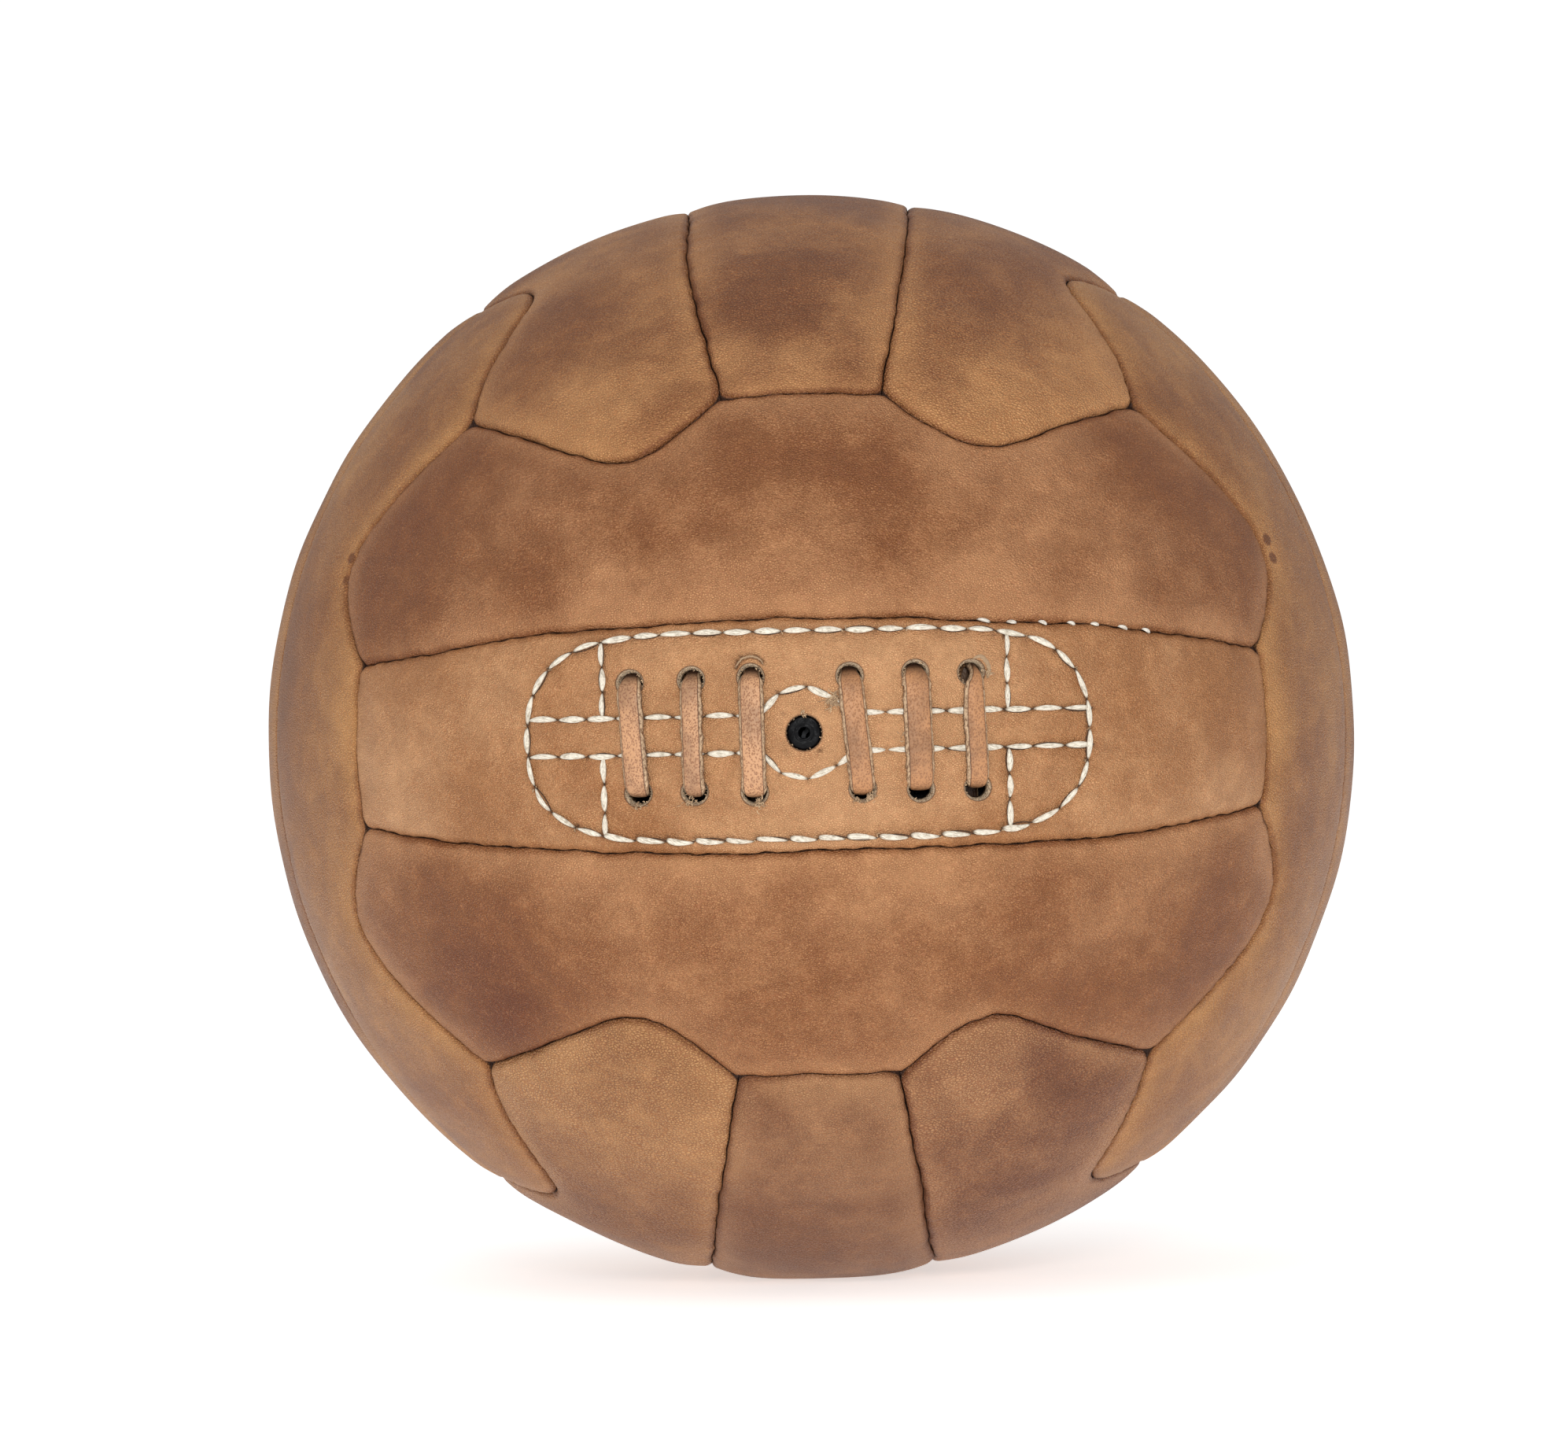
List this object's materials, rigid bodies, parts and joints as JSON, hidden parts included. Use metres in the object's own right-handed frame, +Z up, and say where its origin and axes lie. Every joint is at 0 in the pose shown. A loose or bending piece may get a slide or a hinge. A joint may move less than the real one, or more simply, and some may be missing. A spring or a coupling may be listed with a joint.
{
  "type": "laced leather medicine ball",
  "caption": "Round laced leather ball of stitched scalloped panels over an air bladder, thrown and caught as a medicine ball.",
  "frame": {"origin": "centre of the flat patch that the ball stands on, straight under the ball's centre", "axes": "+Z up through the ball's centre, -Y out through the laced panel and its valve, +X to the right when looking at the lacing"},
  "size_m": [0.219, 0.2217, 0.2186],
  "materials": {
    "laced_panel_leather": "smooth orange-tan leather with a fine grain, dull sheen",
    "dark_panel_leather": "mottled mid-brown leather with a fine grain, soft sheen",
    "panel_leather": "aged tan leather with a fine grain and worn light and dark patches",
    "lining_cloth": "natural cotton cloth, matt",
    "canvas": "stiffened canvas, matt",
    "lace_leather": "flat cut leather thong with rough edges",
    "waxed_thread": "cream waxed linen thread",
    "seam_thread": "waxed linen thread, darkened in the seam",
    "bladder_rubber": "black butyl rubber",
    "valve_rubber": "black rubber, satin"
  },
  "bodies": {
    "root": {"front_upper_panel": "dark_panel_leather", "front_upper_lining": "lining_cloth", "front_middle_panel": "laced_panel_leather", "front_lower_panel": "dark_panel_leather", "front_lower_lining": "lining_cloth", "back_upper_panel": "panel_leather", "back_upper_lining": "lining_cloth", "back_middle_panel": "panel_leather", "back_middle_lining": "lining_cloth", "back_lower_panel": "panel_leather", "back_lower_lining": "lining_cloth", "top_left_panel": "panel_leather", "top_left_lining": "lining_cloth", "top_middle_panel": "panel_leather", "top_middle_lining": "lining_cloth", "top_right_panel": "panel_leather", "top_right_lining": "lining_cloth", "bottom_left_panel": "panel_leather", "bottom_left_lining": "lining_cloth", "bottom_middle_panel": "panel_leather", "bottom_middle_lining": "lining_cloth", "bottom_right_panel": "panel_leather", "bottom_right_lining": "lining_cloth", "left_forward_panel": "panel_leather", "left_forward_lining": "lining_cloth", "left_middle_panel": "panel_leather", "left_middle_lining": "lining_cloth", "left_rear_panel": "panel_leather", "left_rear_lining": "lining_cloth", "right_forward_panel": "panel_leather", "right_forward_lining": "lining_cloth", "right_middle_panel": "panel_leather", "right_middle_lining": "lining_cloth", "right_rear_panel": "panel_leather", "right_rear_lining": "lining_cloth", "lace_reinforcement": "canvas", "lace_tongue": "canvas", "lace_left": "lace_leather", "lace_right": "lace_leather", "outline_stitching": "waxed_thread", "upper_centre_stitching": "waxed_thread", "upper_left_tick_stitching": "waxed_thread", "upper_right_tick_stitching": "waxed_thread", "lower_centre_stitching": "waxed_thread", "lower_left_tick_stitching": "waxed_thread", "lower_right_tick_stitching": "waxed_thread", "seam_thread": "seam_thread", "bladder": "bladder_rubber", "valve_body": "valve_rubber", "valve_core": "valve_rubber"}
  },
  "joints": []
}
